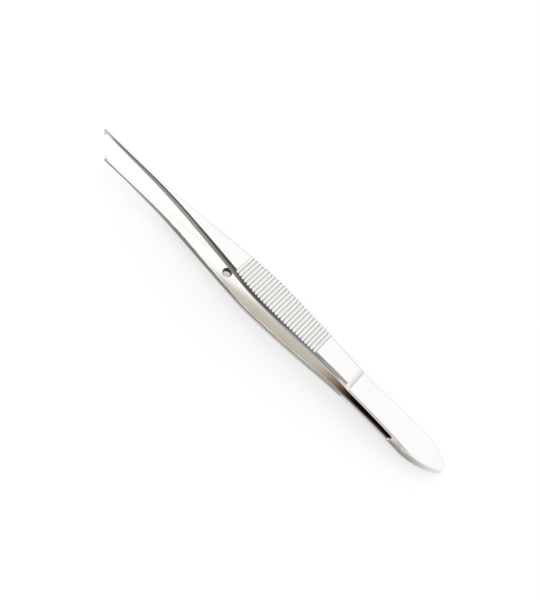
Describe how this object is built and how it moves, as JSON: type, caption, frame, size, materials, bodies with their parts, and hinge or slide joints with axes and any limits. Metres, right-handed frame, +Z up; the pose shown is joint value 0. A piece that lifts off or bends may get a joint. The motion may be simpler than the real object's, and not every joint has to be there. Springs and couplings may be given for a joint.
{
  "type": "tissue forceps",
  "caption": "Fine stainless steel tissue forceps with toothed tips, cross-grooved grips, a guide pin between the sprung arms and a welded tail.",
  "frame": {"origin": "centre of the bounding box on the surface the forceps lies on", "axes": "+X towards the toothed tips, +Z up from the lower arm to the upper arm, +Y across the arms"},
  "size_m": [0.1022, 0.0068, 0.0145],
  "materials": {
    "arm_steel": "satin polished stainless steel",
    "pin_steel": "turned stainless steel"
  },
  "bodies": {
    "root": {"upper_arm": "arm_steel", "lower_arm": "arm_steel", "guide_pin": "pin_steel"}
  },
  "joints": []
}
